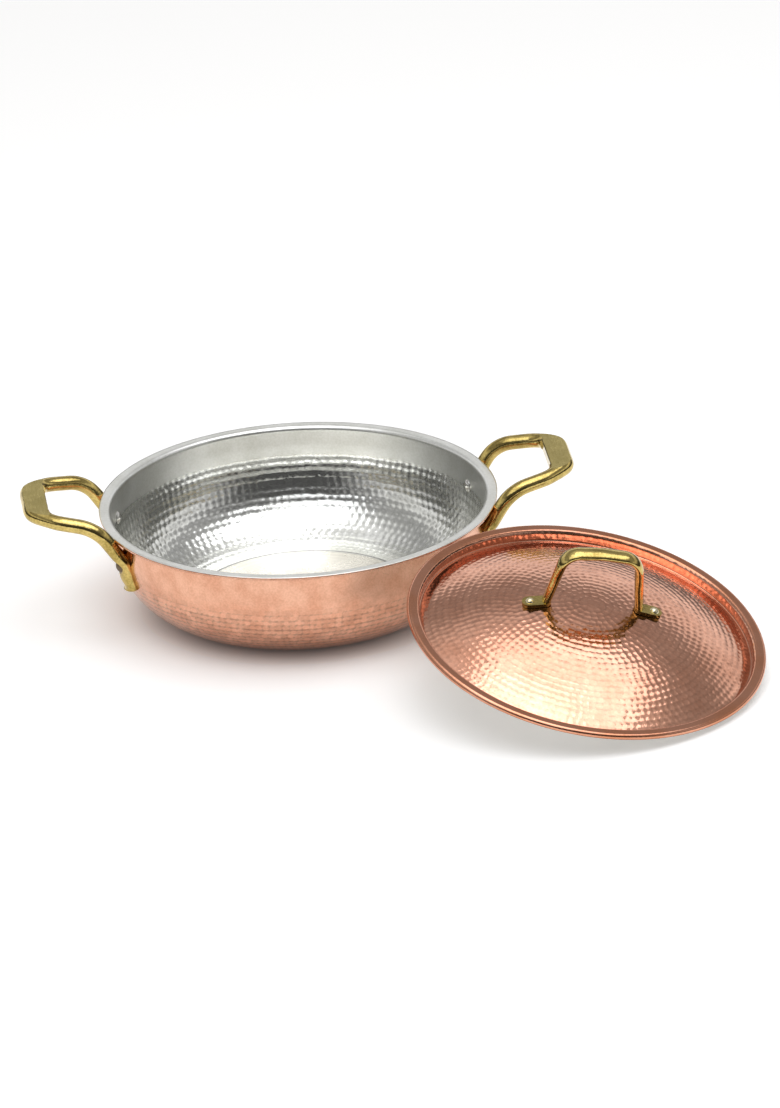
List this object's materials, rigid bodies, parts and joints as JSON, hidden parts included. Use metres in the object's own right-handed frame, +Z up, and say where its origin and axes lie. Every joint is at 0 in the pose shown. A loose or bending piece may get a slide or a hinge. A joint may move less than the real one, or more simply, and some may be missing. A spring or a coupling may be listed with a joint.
{
  "type": "kadai",
  "caption": "Deep rounded copper kadai, hammered outside and tin-lined, with riveted brass loop handles; its domed lid with a brass strap handle is off and leans on the rim.",
  "frame": {"origin": "centre of the pan's flat base, on the floor", "axes": "+Z is up; +X runs along the side handles, towards the handle on the right; the lid leans on the rim on the +X, -Y side"},
  "size_m": [0.4929, 0.4545, 0.1063],
  "materials": {
    "copper": "hammered bright copper",
    "lid_copper": "hammered copper",
    "tin": "wiped tin",
    "brass": "cast and polished",
    "rivet": "tinned and worn"
  },
  "bodies": {
    "pan": {"pan_body": "copper", "pan_lining": "tin", "right_handle": "brass", "left_handle": "brass", "right_front_rivet": "rivet", "right_rear_rivet": "rivet", "left_front_rivet": "rivet", "left_rear_rivet": "rivet"},
    "lid": {"lid_body": "lid_copper", "lid_lining": "tin", "lid_handle": "brass", "lid_left_rivet": "rivet", "lid_right_rivet": "rivet"}
  },
  "joints": [
    {"name": "lid_lift", "type": "slide", "parent": "pan", "child": "lid", "axis": [0, 0, 1], "range_m": [0, 0.2]}
  ]
}
